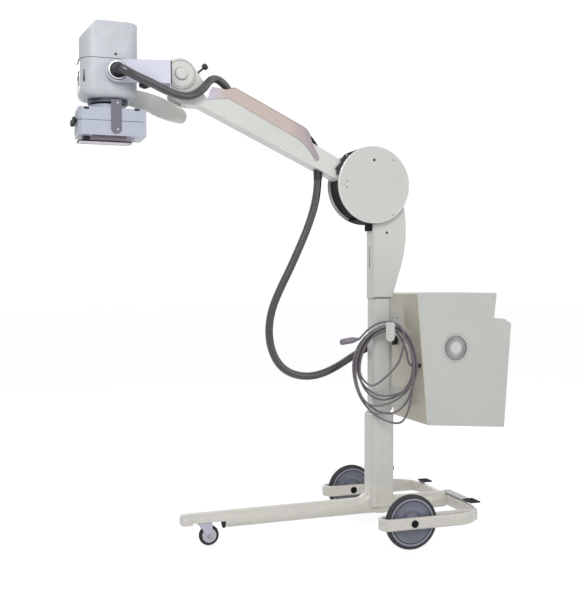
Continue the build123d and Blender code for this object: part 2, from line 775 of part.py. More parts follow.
def head_cover():
    """The upper housing with its sloped front."""
    mid_x = (HEAD_X0 + HEAD_X1) / 2
    body = extrude(
        Pos(mid_x + 1, 0, SEAM_Z) * RectangleRounded(HEAD_X1 - HEAD_X0 + 4, HEAD_W + 4, HEAD_R + 2),
        amount=HEAD_TOP_Z - SEAM_Z,
    )
    slope = slab(
        outline([(1090, HEAD_TOP_Z + 1), (1090, HEAD_TOP_Z), (1148, HEAD_TOP_Z - 62),
                 (1200, HEAD_TOP_Z - 62), (1200, HEAD_TOP_Z + 1)]),
        -HEAD_W, HEAD_W,
    )
    return body - slope


def turntable_ring():
    """The dark ring under the head that the collimator turns on."""
    ring = rod(RING_D / 2, RING_T, (BEAM_X, 0, HEAD_BOTTOM_Z - RING_T), (0, 0, 1))
    return ring + rod(22, 10, (BEAM_X, 0, HEAD_BOTTOM_Z - RING_T - 10), (0, 0, 1))


def head_handle():
    """The flat curved handle behind the head on its right side."""
    paddle = make_face([
        ThreePointArc((980, 1662), (853, 1646), (773, 1607)),
        ThreePointArc((773, 1607), (745, 1573), (760, 1551)),
        ThreePointArc((760, 1551), (825, 1562), (889, 1588)),
        Line((889, 1588), (980, 1610)),
        Line((980, 1610), (980, 1662)),
    ])
    return slab(paddle, -78, -68) - head_lower()


def dial():
    """The small dial window on the head's front face."""
    return Pos(HEAD_X1 + 1.0, 0, 1675) * Box(2.0, 18, 46)


# Collimator


def collimator_body():
    """The collimator box with its cut front corners, hollow below its lamp space."""
    plan = make_face(Polyline(
        (COLLIMATOR_X0, -COLLIMATOR_W / 2),
        (COLLIMATOR_X1 - COLLIMATOR_CORNER, -COLLIMATOR_W / 2),
        (COLLIMATOR_X1, COLLIMATOR_CORNER - COLLIMATOR_W / 2),
        (COLLIMATOR_X1, COLLIMATOR_W / 2 - COLLIMATOR_CORNER),
        (COLLIMATOR_X1 - COLLIMATOR_CORNER, COLLIMATOR_W / 2),
        (COLLIMATOR_X0, COLLIMATOR_W / 2),
        close=True,
    ))
    body = extrude(Pos(0, 0, COLLIMATOR_Z0) * plan, amount=COLLIMATOR_Z1 - COLLIMATOR_Z0)
    body = fillet(body.edges().filter_by(Axis.Z), 5)
    collar_h = HEAD_BOTTOM_Z - RING_T - CLEAR - COLLIMATOR_Z1
    collar = rod(RING_D / 2 - 8, collar_h, (BEAM_X, 0, COLLIMATOR_Z1), (0, 0, 1))
    window = Pos(BEAM_X, 0, COLLIMATOR_Z0) * Box(120, 120, 60)
    spigot = rod(22 + RUN_FIT, 30, (BEAM_X, 0, COLLIMATOR_Z1 - 8), (0, 0, 1))
    return body + collar - window - spigot


def collimator_window():
    """The clear plate that closes the collimator's mouth."""
    return Pos(BEAM_X, 0, COLLIMATOR_Z0 + 26) * Box(120 - 0.6, 120 - 0.6, 8)


def collimator_knobs():
    """The shutter knobs on the collimator's front."""
    knobs = []
    for y, z in ((34, 1524), (-34, 1524)):
        stem = rod(5, 6, (COLLIMATOR_X1, y, z), (1, 0, 0))
        head = rod(12, 12, (COLLIMATOR_X1 + 6, y, z), (1, 0, 0))
        knobs.append(stem + chamfer(head.edges().group_by(Axis.X)[-1], 2))
    return Compound(knobs)


def filter_tray():
    """The clear slide under the collimator, on its black end posts."""
    plate = Pos(1054, 0, COLLIMATOR_Z0 - TRAY_DROP - 2) * Box(180, TRAY_W, 4)
    rail_y = TRAY_W / 2 - 4
    rails = [Pos(1026, y, COLLIMATOR_Z0 - TRAY_DROP / 2) * Box(150, 4, TRAY_DROP) for y in (rail_y, -rail_y)]
    return plate + rails[0] + rails[1]


def tray_posts():
    """The black posts at the front of the slide."""
    z = COLLIMATOR_Z0 - TRAY_DROP / 2
    return Compound([Pos(1117, y, z) * Box(20, 14, TRAY_DROP) for y in (TRAY_W / 2 - 9, 9 - TRAY_W / 2)])


def collimator_strap(side):
    """The steel strap down the collimator's side."""
    y = COLLIMATOR_W / 2
    top = HEAD_BOTTOM_Z - CLEAR - 1
    front, back, low = BEAM_X - 2, BEAM_X - 38, COLLIMATOR_Z0 + 24
    face = make_face([
        Line((back, top), (front, top)),
        Line((front, top), (front, low)),
        ThreePointArc((front, low), (BEAM_X - 20, low - 18), (back, low)),
        Line((back, low), (back, top)),
    ])
    strap = slab(face, y, y + 3) if side > 0 else slab(face, -y - 3, -y)
    return strap


# Hoses and cable. Each route is a list of corner points, rounded by arcs.

UPPER_HOSE = [
    (1022, 136.2, 1688), (1022, 152, 1688), (1010, 165, 1682), (988, 168, 1670), (952, 156, 1658),
    (910, 136, 1648), (864, 111, 1634), (817, 85, 1624), (771, 67, 1622), (735, 58, 1637),
    (706, 55, 1662), (690, 50, 1686), (672, 32, 1700), (645, 12, 1703), (617, 3, 1686),
    (599, 0, 1661), (569, 0, 1631),
]
LOWER_HOSE = [
    (254, 0, 1392), (255, 0, 1330), (266, -2, 1258), (292, -6, 1176), (326, -10, 1096),
    (362, -14, 1016), (402, -19, 936), (434, -23, 856), (443, -27, 774), (426, -31, 696),
    (384, -35, 636), (316, -40, 606), (236, -48, 606), (156, -58, 636), (76, -68, 681),
    (0, -75, 716), (-50, -75, 728), (-94, -73, 734),
]


def rounded_route(points):
    """Straight runs joined by the largest arcs that they allow."""
    radii = []
    for before, here, after in zip(points, points[1:], points[2:]):
        back, ahead = Vector(*before) - Vector(*here), Vector(*after) - Vector(*here)
        turn = 180 - back.get_angle(ahead)
        radii.append(0.45 * min(back.length, ahead.length) / tan(radians(turn) / 2))
    return FilletPolyline(*points, radius=radii), radii


def cord(name, points, diameter):
    """A round cord along its route, with what it measures printed."""
    path, radii = rounded_route(points)
    wire = path.wire() if hasattr(path, "wire") else path
    start = Plane(origin=wire @ 0, z_dir=wire % 0)
    tube = sweep(start * Circle(diameter / 2), path=wire)
    share = tube.volume / (3.14159265 / 4 * diameter**2 * wire.length)
    print(name, "length", round(wire.length), "radii", [round(r) for r in radii], "share", round(share, 4))
    return tube


def cable_coil():
    """The outer shape of the looped hand switch cable on its hook."""
    ring = Pos(12, 0) * Ellipse(128, 196) - Pos(8, 68) * Ellipse(98, 102)
    saddle = Pos(-16, 155.3) * Rectangle(48, 30)
    body = extrude(Plane.XZ * (ring - saddle), amount=17, both=True)
    return Pos(0, 87, 615) * Rot(0, 0, COIL_TURN) * body


def hand_switch():
    """The grey hand switch tucked into the cable's loops."""
    body = rod(12, 74, (171, 24, 738), (-0.965, 0.2, 0.17))
    return chamfer(body.edges(), 4)


def cabinet_glands():
    """The black glands on the cabinet's front, for the lower hose and for the switch cable."""
    slope = radians(4.9)
    way = (cos(slope), 0, -sin(slope))
    return Compound([rod(GLAND_D / 2, 14, (-106.1, -73, 735), way), rod(8, 10, (-113.3, 128, 650), way)])


# Building and writing the pieces

for name, side in (("left", 1), ("right", -1)):
    pieces[f"wheel_rail_{name}"] = wheel_rail(side)
    pieces[f"axle_{name}"] = axle(side)
    pieces[f"axle_plugs_{name}"] = axle_plugs(side)
    pieces[f"tyre_{name}"] = tyre(side)
    pieces[f"wheel_disc_{name}"] = wheel_disc(side)
    pieces[f"joint_cover_{name}"] = joint_cover(side)
    pieces[f"collimator_strap_{name}"] = collimator_strap(side)

for make in (
    rear_bow, spine_tube, base_hub, leg_tube, caster_plate, leg_end_cap, caster_fork,
    caster_wheel, step_pads, step_treads, column_sleeve, column_tube, sleeve_knob,
    column_neck, joint_rim, joint_shaft, neck_stop, cable_hook, cabinet_shell, vent_grille,
    cabinet_bracket, generator_block, arm_beam, arm_shield, arm_hood, knuckle_cover,
    knuckle_pin, lock_lever, head_bracket, hose_gland, tilt_knob, head_lower, head_cover,
    turntable_ring, head_handle, dial, collimator_body, collimator_window, collimator_knobs,
    filter_tray, tray_posts, cable_coil, hand_switch, cabinet_glands,
):
    pieces[make.__name__] = make()
pieces["hose_upper"] = cord("hose_upper", UPPER_HOSE, HOSE_D)
pieces["hose_lower"] = cord("hose_lower", LOWER_HOSE, HOSE_D)

os.makedirs("parts", exist_ok=True)
for name, solid in pieces.items():
    export_step(Pos(REAR_AXLE_X, 0, 0) * solid, f"parts/{name}.step")
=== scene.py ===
import math

import bmesh
import bpy
import numpy as np
from mathutils import Matrix, Vector


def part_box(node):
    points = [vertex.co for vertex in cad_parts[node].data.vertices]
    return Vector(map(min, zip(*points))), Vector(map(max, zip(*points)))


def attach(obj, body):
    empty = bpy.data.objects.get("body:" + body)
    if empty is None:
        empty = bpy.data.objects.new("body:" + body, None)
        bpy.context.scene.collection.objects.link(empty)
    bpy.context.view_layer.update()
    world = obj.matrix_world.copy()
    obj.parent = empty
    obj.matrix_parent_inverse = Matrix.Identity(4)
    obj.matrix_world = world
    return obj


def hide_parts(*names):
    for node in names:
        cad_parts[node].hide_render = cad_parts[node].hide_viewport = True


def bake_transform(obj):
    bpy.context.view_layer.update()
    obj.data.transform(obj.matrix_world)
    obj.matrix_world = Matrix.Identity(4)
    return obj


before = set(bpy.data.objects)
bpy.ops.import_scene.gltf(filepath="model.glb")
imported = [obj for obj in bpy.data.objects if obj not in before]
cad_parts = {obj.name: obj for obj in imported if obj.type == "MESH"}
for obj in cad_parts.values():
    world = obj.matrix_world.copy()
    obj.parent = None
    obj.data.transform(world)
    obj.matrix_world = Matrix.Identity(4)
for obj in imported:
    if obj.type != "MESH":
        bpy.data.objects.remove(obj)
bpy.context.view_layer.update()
scene = bpy.context.scene


# Sizes and places

# Lengths are in millimetres and are laid out from the floor under the middle of the rear axle, with
# x forwards, y to the machine's left and z up. AXLE_X, in metres, moves them into the model's frame.
AXLE_X = -0.344
SHIFT = np.array([AXLE_X, 0.0, 0.0])

# Centres of the rear wheels and the caster's wheel, and the caster's swivel axis
WHEEL_Y, WHEEL_Z = 286.5, 100
CASTER_X, CASTER_Z = 681, 37.5
SWIVEL_X = 703

# Half widths of the square sleeve, the column and the hook's strip, with tops and corner radius
SLEEVE_HALF, SLEEVE_TOP = 37.9, 460.2
COLUMN_HALF, COLUMN_TOP = 37.4, 905
COLUMN_CORNER = 9
HOOK_HALF = 17

# The arm's joint, the knuckle's cap and the hose's gland
JOINT_X, JOINT_Z = 45, 1338
KNUCKLE = (786.94, 42, 1708.0)
GLAND = (1022, 115.8, 1688)

# Axis of the head's round corner, the turntable ring with its scale's lower end, and the straps
HEAD_CORNER_X, HEAD_CORNER_Y = 1091, 40
RING_X, RING_RADIUS, RING_LOW = 1041, 68.85, 1589.6
STRAP_X, STRAP_Y = 1016, 77

# The cabinet's side walls and its vent's centre
CABINET_SIDE = 150
VENT_X, VENT_Z = -254, 715

# Radii of the cords, in metres
HOSE_RADIUS, CABLE_RADIUS = 0.015, 0.004

# Cosine and sine of the arm's rise at rest, 27.3 degrees, and of the coil's turn, 25 degrees
ARM_COS, ARM_SIN = 0.8886172, 0.4586496
COIL_COS, COIL_SIN = 0.9063, 0.4226

# Where the small window sits on the head's round corner, and the way it faces there
CORNER_TURN = math.radians(40)
CORNER_WAY = (math.cos(CORNER_TURN), math.sin(CORNER_TURN), 0)

# Ways that turned pieces face
NEAR, FAR = (0, 1, 0), (0, -1, 0)
FRONT, REAR = (1, 0, 0), (-1, 0, 0)
UP = (0, 0, 1)


def mm(*rows):
    """Rows of millimetres from the rear axle, as metres in the model's frame."""
    return np.array(rows, float) / 1000 + SHIFT


def at(place):
    """One point in millimetres from the rear axle, as metres in the model's frame."""
    return mm(place)[0]


def on_arm(along, out):
    """x and z of points along the arm from its joint and out from its middle line, in millimetres."""
    return JOINT_X + ARM_COS * along - ARM_SIN * out, JOINT_Z + ARM_SIN * along + ARM_COS * out


def on_corner(radius, z):
    """A point radius out from the axis of the head's round corner, in millimetres."""
    return HEAD_CORNER_X + radius * CORNER_WAY[0], HEAD_CORNER_Y + radius * CORNER_WAY[1], z


def box_of(node):
    """Lowest and highest corner of a node, in millimetres from the rear axle."""
    low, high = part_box(node)
    return (np.array(low) - SHIFT) * 1000, (np.array(high) - SHIFT) * 1000


# Camera, fitted to the photograph

camera_data = bpy.data.cameras.new("ward_camera")
camera_data.sensor_width = 36.0
camera_data.lens = 54.2
camera_data.clip_end = 60.0
camera = bpy.data.objects.new("ward_camera", camera_data)
scene.collection.objects.link(camera)
camera.location = (1.469 + AXLE_X, 3.294, 0.966)
turn, dip = math.radians(18.61), math.radians(1.49)
look = Vector((-math.sin(turn) * math.cos(dip), -math.cos(turn) * math.cos(dip), -math.sin(dip)))
camera.rotation_euler = look.to_track_quat("-Z", "Y").to_euler()
scene.camera = camera


# Surfaces


def mesh_piece(name, vertices, faces, finish, smooth=True):
    """A mesh object from arrays of vertices and faces, its place in its mesh."""
    mesh = bpy.data.meshes.new(name)
    mesh.from_pydata(np.asarray(vertices, float).tolist(), [], [list(map(int, f)) for f in faces])
    mesh.validate()
    mesh.update()
    if smooth:
        mesh.shade_smooth()
    else:
        mesh.shade_flat()
    mesh.materials.append(finish)
    piece = bpy.data.objects.new(name, mesh)
    scene.collection.objects.link(piece)
    return piece


def tidy_normals(piece):
    """Merges doubles and turns every face outwards."""
    mesh = bmesh.new()
    mesh.from_mesh(piece.data)
    bmesh.ops.remove_doubles(mesh, verts=mesh.verts, dist=1e-6)
    bmesh.ops.recalc_face_normals(mesh, faces=mesh.faces)
    mesh.to_mesh(piece.data)
    mesh.free()
    return piece


CRISP = math.radians(40)


def sharpen(piece):
    """Keeps the edges where faces turn by more than CRISP crisp, and the rest smooth."""
    piece.data.shade_smooth()
    piece.data.set_sharp_from_angle(angle=CRISP)
    return piece


def grid_faces(rows, columns, wrap_rows=False):
    """Quads of a rows x columns grid of points whose columns join round, and its rows where asked."""
    i = np.arange(rows if wrap_rows else rows - 1)[:, None]
    j = np.arange(columns)[None, :]
    a, b = i * columns, (i + 1) % rows * columns
    k = (j + 1) % columns
    return np.stack(np.broadcast_arrays(a + j, b + j, b + k, a + k), -1).reshape(-1, 4)


def closed_tube_faces(rows, columns):
    """Faces of a grid of rings, with its first and last ring closed."""
    ends = [list(range(columns))[::-1], list(range((rows - 1) * columns, rows * columns))]
    return list(grid_faces(rows, columns)) + ends


def frame_of(axis):
    """Two unit vectors square to axis, and the axis itself."""
    axis = np.asarray(axis, float) / np.linalg.norm(axis)
    side = np.cross(axis, (0, 0, 1) if abs(axis[2]) < 0.9 else (1, 0, 0))
    side /= np.linalg.norm(side)
    return side, np.cross(axis, side), axis


def turned_points(profile, place, axis, segments, wave=None):
    """(radius, height) rows in millimetres turned about axis: p = place + r (u cos a + v sin a) + h axis.
    wave(a) scales the radius, for flutes and lobes."""
    u, v, w = frame_of(axis)
    r, h = np.asarray(profile, float).T[..., None] / 1000
    a = np.linspace(0, 2 * np.pi, segments, endpoint=False)
    around = np.cos(a)[:, None] * u + np.sin(a)[:, None] * v
    if wave:
        r = r * wave(a)
    points = at(place) + r[..., None] * around + h[..., None] * w
    return points.reshape(-1, 3)


def turned_piece(name, profile, place, axis, finish, segments=40, wave=None):
    """A profile turned about axis by turned_points, smooth all over, its first and last ring capped."""
    points = turned_points(profile, place, axis, segments, wave)
    return tidy_normals(mesh_piece(name, points, closed_tube_faces(len(profile), segments), finish))


def turned(name, profile, place, axis, finish, segments=40, wave=None):
    """turned_piece with its hard edges kept."""
    return sharpen(turned_piece(name, profile, place, axis, finish, segments, wave))


def ring_piece(name, section, place, axis, finish, segments=96):
    """A closed section of (radius, height) rows turned about axis into a ring, by turned_points."""
    points = turned_points(section, place, axis, segments)
    faces = grid_faces(len(section), segments, wrap_rows=True)
    return sharpen(tidy_normals(mesh_piece(name, points, faces, finish)))


def bead(radius, height, size, sides=10):
    """A round section for ring_piece: (radius, height) + size (cos a, sin a)."""
    a = np.linspace(0, 2 * np.pi, sides, endpoint=False)
    return np.c_[radius + size * np.cos(a), height + size * np.sin(a)]


def two_faced(half):
    """A closed section from its upper half and the same rows mirrored below."""
    return half + [(r, -h) for r, h in half[::-1]]


def slab_piece(name, rows, low, high, finish, edge=1.0, way="xz"):
    """An outline extruded from low to high, its edges eased: ring k = centre + (1 - e_k) (p - centre)."""
    rows = np.array(rows, float)
    centre = rows.mean(0)
    eased = 1 - np.array([edge, 0, 0, edge]) / np.abs(rows - centre).max()
    p, q = (centre + eased[:, None, None] * (rows - centre)).reshape(-1, 2).T
    h = np.repeat([low, low + edge, high - edge, high], len(rows))
    points = np.column_stack({"xz": (p, h, q), "yz": (h, p, q), "xy": (p, q, h)}[way])
    return sharpen(tidy_normals(mesh_piece(name, mm(*points), closed_tube_faces(4, len(rows)), finish)))


def rounded(a0, a1, b0, b1, r, steps=8):
    """Points round a rectangle: each corner's centre + r (cos t, sin t) over its quarter turn t."""
    centres = np.array([(a1 - r, b1 - r), (a0 + r, b1 - r), (a0 + r, b0 + r), (a1 - r, b0 + r)])
    t = np.radians(np.linspace((0, 90, 180, 270), (90, 180, 270, 360), steps, axis=1))
    return (centres[:, None] + r * np.stack([np.cos(t), np.sin(t)], -1)).reshape(-1, 2)


def joined(name, pieces):
    """One mesh of several, with the first one's finish: each one's faces count on from the last's points."""
    finish, points, faces, base = pieces[0].data.materials[0], [], [], 0
    for piece in pieces:
        mesh = piece.data
        corners = np.empty(len(mesh.vertices) * 3, np.float32)
        mesh.vertices.foreach_get("co", corners)
        points.append(corners.reshape(-1, 3))
        faces += [[base + i for i in face.vertices] for face in mesh.polygons]
        base += len(mesh.vertices)
        bpy.data.objects.remove(piece)
    return sharpen(mesh_piece(name, np.vstack(points), faces, finish))


# Lines and tubes


def add_spline(curve, points):
    """One open NURBS spline of order 3 that ends at its end points."""
    spline = curve.splines.new("NURBS")
    spline.points.add(len(points) - 1)
    spline.points.foreach_set("co", np.c_[np.asarray(points, float), np.ones(len(points))].ravel())
    spline.order_u = 3
    spline.use_endpoint_u = True


def route_points(points):
    """The points that a smooth open NURBS line through the route's controls passes."""
    curve = bpy.data.curves.new("route", "CURVE")
    curve.dimensions = "3D"
    curve.resolution_u = 10
    add_spline(curve, points)
    holder = bpy.data.objects.new("route", curve)
    scene.collection.objects.link(holder)
    bpy.context.view_layer.update()
    mesh = bpy.data.meshes.new_from_object(holder)
    line = np.empty(len(mesh.vertices) * 3)
    mesh.vertices.foreach_get("co", line)
    bpy.data.objects.remove(holder)
    bpy.data.curves.remove(curve)
    bpy.data.meshes.remove(mesh)
    return line.reshape(-1, 3)


def distance_along(line):
    """How far along a line each of its points lies: the steps between points, added up from 0."""
    return np.r_[0, np.cumsum(np.linalg.norm(np.diff(line, axis=0), axis=1))]


def tube_piece(name, line, radius, finish, sides=20):
    """A round tube in metres: p = line(t) + r (n cos a + b sin a), with n carried along square to it."""
    line = np.asarray(line, float)
    tangent = np.gradient(line, axis=0)
    tangent /= np.linalg.norm(tangent, axis=1)[:, None]
    normals = [frame_of(tangent[0])[0]]
    for t in tangent[1:]:
        n = normals[-1] - t * np.dot(normals[-1], t)
        normals.append(n / np.linalg.norm(n))
    n = np.array(normals)
    b = np.cross(tangent, n)
    a = np.linspace(0, 2 * np.pi, sides, endpoint=False)
    r = np.broadcast_to(np.asarray(radius, float), (len(line),))
    ring = np.cos(a)[None, :, None] * n[:, None, :] + np.sin(a)[None, :, None] * b[:, None, :]
    points = line[:, None, :] + r[:, None, None] * ring
    piece = mesh_piece(name, points.reshape(-1, 3), closed_tube_faces(len(line), sides), finish)
    along = piece.data.attributes.new("along", "FLOAT", "POINT")
    along.data.foreach_set("value", np.repeat(distance_along(line), sides).astype(np.float32))
    return tidy_normals(piece)


# Shader arithmetic


class Signal:
    """A shader socket in Python arithmetic: each operator adds one Math node."""

    def __init__(self, graph, socket):
        self.graph, self.socket = graph, socket

    def maths(self, operation, *values):
        return self.graph.node("ShaderNodeMath", {"operation": operation}, dict(enumerate(values)))

    def __add__(self, other):
        return self.maths("ADD", self, other)

    def __sub__(self, other):
        return self.maths("SUBTRACT", self, other)

    def __rsub__(self, other):
        return self.maths("SUBTRACT", other, self)

    def __mul__(self, other):
        return self.maths("MULTIPLY", self, other)

    __radd__ = __add__
    __rmul__ = __mul__

    def sine(self):
        return self.maths("SINE", self)

    def or_more(self, other):
        return self.maths("MAXIMUM", self, other)

    def kept(self, low, high):
        """This value eased from 0 at low to 1 at high."""
        return self.graph.node(
            "ShaderNodeMapRange", {"interpolation_type": "SMOOTHSTEP"},
            {"Value": self, "From Min": low, "From Max": high}, "Result",
        )


class Graph:
    """A node tree whose new nodes all come from one method."""

    def __init__(self, tree):
        self.nodes, self.links = tree.nodes, tree.links

    def node(self, kind, settings, sockets, output=0):
        """Adds a node: its settings first, then its sockets' values or links."""
        node = self.nodes.new(kind)
        for key, value in settings.items():
            setattr(node, key, value)
        for key, value in sockets.items():
            self.fill(node.inputs[key], value)
        return Signal(self, node.outputs[output])

    def fill(self, socket, value):
        """Gives a socket a value or a link."""
        if isinstance(value, Signal):
            self.links.new(value.socket, socket)
        else:
            socket.default_value = value

    def seen_rays(self):
        """1 for camera, glossy and transmission rays: the highest of the three from Light Path."""
        camera_ray, glossy, through = (
            self.node("ShaderNodeLightPath", {}, {}, name)
            for name in ("Is Camera Ray", "Is Glossy Ray", "Is Transmission Ray")
        )
        return camera_ray.or_more(glossy).or_more(through)


class Finish(Graph):
    """A procedural finish on a Principled shader, read from Object coordinates in metres."""

    def __init__(self, name, colour, roughness=0.5, metallic=0.0, **constants):
        self.material = bpy.data.materials.new(name)
        self.material.use_nodes = True
        self.material.diffuse_color = (*colour, 1)
        super().__init__(self.material.node_tree)
        self.shader = self.nodes["Principled BSDF"]
        self.set("Base Color", (*colour, 1))
        self.set("Roughness", roughness)
        self.set("Metallic", metallic)
        for key, value in constants.items():
            self.set(key.replace("_", " "), value)
        self.place = self.node("ShaderNodeTexCoord", {}, {}, "Object")

    def set(self, name, value):
        """Gives a socket of the shader a value or a link."""
        self.fill(self.shader.inputs[name], value)

    def noise(self, scale, detail=2.0, rough=0.5, place=None):
        """Fractal noise, scale in features a metre, about 0.5 in the middle."""
        return self.node(
            "ShaderNodeTexNoise", {},
            {"Vector": place or self.place, "Scale": scale, "Detail": detail, "Roughness": rough},
        )

    def stretched(self, x, y, z):
        """Object coordinates scaled unevenly, for brushed and drawn grain."""
        return self.node("ShaderNodeMapping", {}, {"Vector": self.place, "Scale": (x, y, z)})

    def axis(self, index):
        """One of the object coordinates as a number."""
        return self.node("ShaderNodeSeparateXYZ", {}, {"Vector": self.place}, index)

    def mix(self, factor, first, second):
        """One colour mixed into another."""
        first, second = (c if isinstance(c, Signal) else (*c, 1) for c in (first, second))
        return self.node("ShaderNodeMix", {"data_type": "RGBA"}, {"Factor": factor, 6: first, 7: second}, 2)

    def bump(self, height, distance, strength=1.0):
        """A bump on the shader's normal, distance in metres."""
        sockets = {"Height": height, "Distance": distance, "Strength": strength}
        self.set("Normal", self.node("ShaderNodeBump", {}, sockets))


# Finishes


def srgb(*values):
    """Linear colour of 0 to 255 display values."""
    c = np.array(values, float) / 255
    return tuple(float(v) for v in np.where(c <= 0.04045, c / 12.92, ((c + 0.055) / 1.055) ** 2.4))


def shade_of(colour, factor, lift=0.0):
    """A colour made darker or lighter by a factor, with a little lift."""
    return tuple(v * factor + lift for v in colour)


# The cabinet's front face, which takes a painted shade: its x from the rear axle, carried down to the floor,
# in metres, and how far forwards it goes with each metre of height
FRONT_FACE_X, FRONT_FACE_LEAN = -0.1693, 0.08566


def lacquer(name, colour, roughness=0.34, soil=0.05, front=None):
    """Sprayed machine paint: faint orange peel, slow tone drift, dust towards the floor, and front, where
    given, as painted shade on the cabinet's front face.
    """
    paint = Finish(name, colour, roughness)
    drift = paint.noise(2.2, 3.0)
    tone = paint.mix(drift.kept(0.35, 0.68), colour, shade_of(colour, 0.93))
    if front:
        # The front face's darker brownish tone, blotched: painted shade
        front_shade_mask = paint.axis(0) - paint.axis(2) * FRONT_FACE_LEAN - (AXLE_X + FRONT_FACE_X)
        tone = paint.mix(front_shade_mask.kept(-0.006, -0.003) * (paint.noise(3.0) * 0.5 + 0.45), tone, front)
    low = 1 - paint.axis(2).kept(0.02, 0.5)
    grime = paint.noise(34.0, 5.0, 0.65).kept(0.46, 0.74) * (low * 0.5 + soil)
    paint.set("Base Color", paint.mix(grime, tone, shade_of(colour, 0.72, 0.03)))
    paint.set("Roughness", paint.noise(60.0, 3.0) * 0.14 + roughness - 0.07 + grime * 0.25)
    paint.bump(paint.noise(950.0), 0.00012, 0.35)
    return paint.material


def moulded(name, colour, roughness=0.5, grain=1400.0, **constants):
    """Moulded plastic: fine spark grain and a little rubbed shine."""
    plastic = Finish(name, colour, roughness, **constants)
    rub = plastic.noise(18.0, 4.0, 0.6)
    plastic.set("Base Color", plastic.mix(rub.kept(0.42, 0.75), colour, shade_of(colour, 1.12, 0.004)))
    plastic.set("Roughness", rub * 0.22 + roughness - 0.11)
    plastic.bump(plastic.noise(grain), 0.0002, 0.5)
    return plastic.material


def rubbery(name, colour, roughness=0.72):
    """Rubber: soft sheen, scuffs and pale dust patches."""
    rubber = Finish(name, colour, roughness)
    scuff = rubber.noise(45.0, 6.0, 0.7)
    rubber.set("Base Color", rubber.mix(scuff.kept(0.5, 0.8) * 0.55, colour, shade_of(colour, 2.2, 0.02)))
    rubber.set("Roughness", scuff * 0.2 + roughness - 0.1)
    rubber.bump(rubber.noise(700.0, 3.0), 0.0003, 0.5)
    return rubber.material


def brushed(name, colour, stretch=(60.0, 60.0, 1800.0), roughness=0.32):
    """Brushed metal: fine lines along one way that vary its roughness."""
    metal = Finish(name, colour, roughness, 1.0)
    lines = metal.noise(1.0, 4.0, 0.6, metal.stretched(*stretch))
    metal.set("Roughness", lines * 0.3 + roughness - 0.15)
    metal.set("Base Color", metal.mix(lines.kept(0.3, 0.75), colour, shade_of(colour, 0.82)))
    metal.bump(lines, 0.00008, 0.4)
    return metal.material


def hose_skin(name, colour, roughness=0.3):
    """Glossy hose sheath: faint wrap marks along its length, with scuffs."""
    skin = Finish(name, colour, roughness, Coat_Weight=0.7, Coat_Roughness=0.16)
    along = skin.node("ShaderNodeAttribute", {"attribute_name": "along"}, {}, 2)
    scuff = skin.noise(55.0, 5.0, 0.65)
    skin.set("Base Color", skin.mix(scuff.kept(0.52, 0.8) * 0.5, colour, shade_of(colour, 1.9, 0.01)))
    skin.set("Roughness", scuff * 0.24 + roughness - 0.08)
    skin.bump((along * 900.0).sine() * 0.5 + skin.noise(300.0), 0.00035, 0.3)
    return skin.material


def hood_finish(name, colour, rear, front):
    """Moulded hood in its own colour, with painted shade in mauve at its rear end and a painted lilac
    highlight on its front facet.
    """
    hood = Finish(name, colour, 0.42)
    rub = hood.noise(18.0, 4.0, 0.6)
    x = hood.axis(0)
    # Painted shade in mauve towards the rear end, then a painted lilac highlight on the front facet
    tone = hood.mix(1 - x.kept(-0.10, 0.06), colour, rear)
    tone = hood.mix(x.kept(0.27, 0.34), tone, front)
    rubbed = tuple(min(v, 0.9) for v in shade_of(colour, 1.2, 0.02))
    hood.set("Base Color", hood.mix(rub.kept(0.45, 0.8) * 0.3, tone, rubbed))
    hood.set("Roughness", rub * 0.2 + 0.32)
    hood.bump(hood.noise(1300.0), 0.0002, 0.5)
    return hood.material


def clear_sheet(name, colour):
    """Clear plastic with a slight tint and fine scratches."""
    sheet = Finish(name, colour, 0.12, 0.0, IOR=1.49, Transmission_Weight=0.75)
    hairs = sheet.noise(1.0, 5.0, 0.7, sheet.stretched(900.0, 40.0, 60.0))
    sheet.set("Roughness", hairs.kept(0.45, 0.8) * 0.22 + 0.08)
    return sheet.material


body_paint = lacquer("body_paint", srgb(202, 202, 196))
arm_paint = lacquer("arm_paint", srgb(213, 214, 208), 0.3)
# The cabinet's front face gets a darker brownish tone: painted shade
cabinet_paint = lacquer("cabinet_paint", srgb(192, 193, 187), 0.38, front=srgb(196, 188, 168))
chassis_paint = lacquer("chassis_paint", srgb(211, 207, 198), 0.26, 0.1)
bracket_paint = lacquer("bracket_paint", srgb(218, 218, 232), 0.26)
collimator_paint = lacquer("collimator_paint", srgb(182, 187, 199), 0.34)

# The hood's colour, its painted mauve shade at the rear and its painted lilac highlight at the front facet
hood_plastic = hood_finish("hood_plastic", srgb(194, 178, 170), srgb(158, 144, 156), srgb(200, 194, 208))
head_plastic = moulded("head_plastic", srgb(190, 194, 198), 0.36, 1100.0)
# The handle is the head's plastic made lighter, to make up for the shade the head casts on it: painted light
handle_plastic_lightened = moulded("handle_plastic_lightened", srgb(218, 219, 212), 0.4, 1100.0)
disc_plastic = moulded("disc_plastic", srgb(104, 106, 119), 0.4)
rim_plastic = moulded("rim_plastic", srgb(138, 139, 150), 0.36)
hub_plastic = moulded("hub_plastic", srgb(190, 188, 198), 0.4)
switch_plastic = moulded("switch_plastic", srgb(120, 112, 124), 0.4)
vent_plastic = moulded("vent_plastic", srgb(202, 203, 198), 0.5)
black_plastic = moulded("black_plastic", srgb(26, 26, 30), 0.34)
ring_black = moulded("ring_black", srgb(44, 46, 62), 0.42)
shield_black = moulded("shield_black", srgb(10, 10, 12), 0.7, Specular_IOR_Level=0.15)
